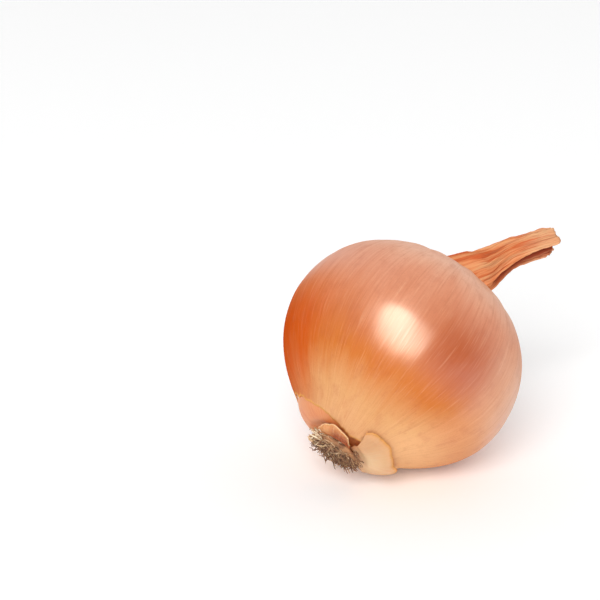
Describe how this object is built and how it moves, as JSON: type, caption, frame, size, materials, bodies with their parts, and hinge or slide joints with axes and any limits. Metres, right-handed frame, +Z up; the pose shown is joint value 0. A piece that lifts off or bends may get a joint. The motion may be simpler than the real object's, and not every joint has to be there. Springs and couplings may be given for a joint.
{
  "type": "onion",
  "caption": "Brown cooking onion lying on its side: a round bulb in glossy papery skin, with a dried bent neck and torn skins round its tuft of cropped roots.",
  "frame": {"origin": "middle of the small flat under the bulb that the onion rests on", "axes": "+Z up, +X the way the neck points as seen from above, +Y to the side"},
  "size_m": [0.1032, 0.0751, 0.0714],
  "materials": {
    "outer_skin": "dry papery onion skin with a satin gloss",
    "pale_skin": "dry cream papery skin, matt",
    "torn_skin": "dry tan papery skin, satin",
    "roots": "dry matted root fibres, matt"
  },
  "bodies": {
    "root": {"bulb": "outer_skin", "roots": "roots", "skin_flap": "pale_skin", "skin_lip": "torn_skin", "skin_scrap": "pale_skin"}
  },
  "joints": []
}
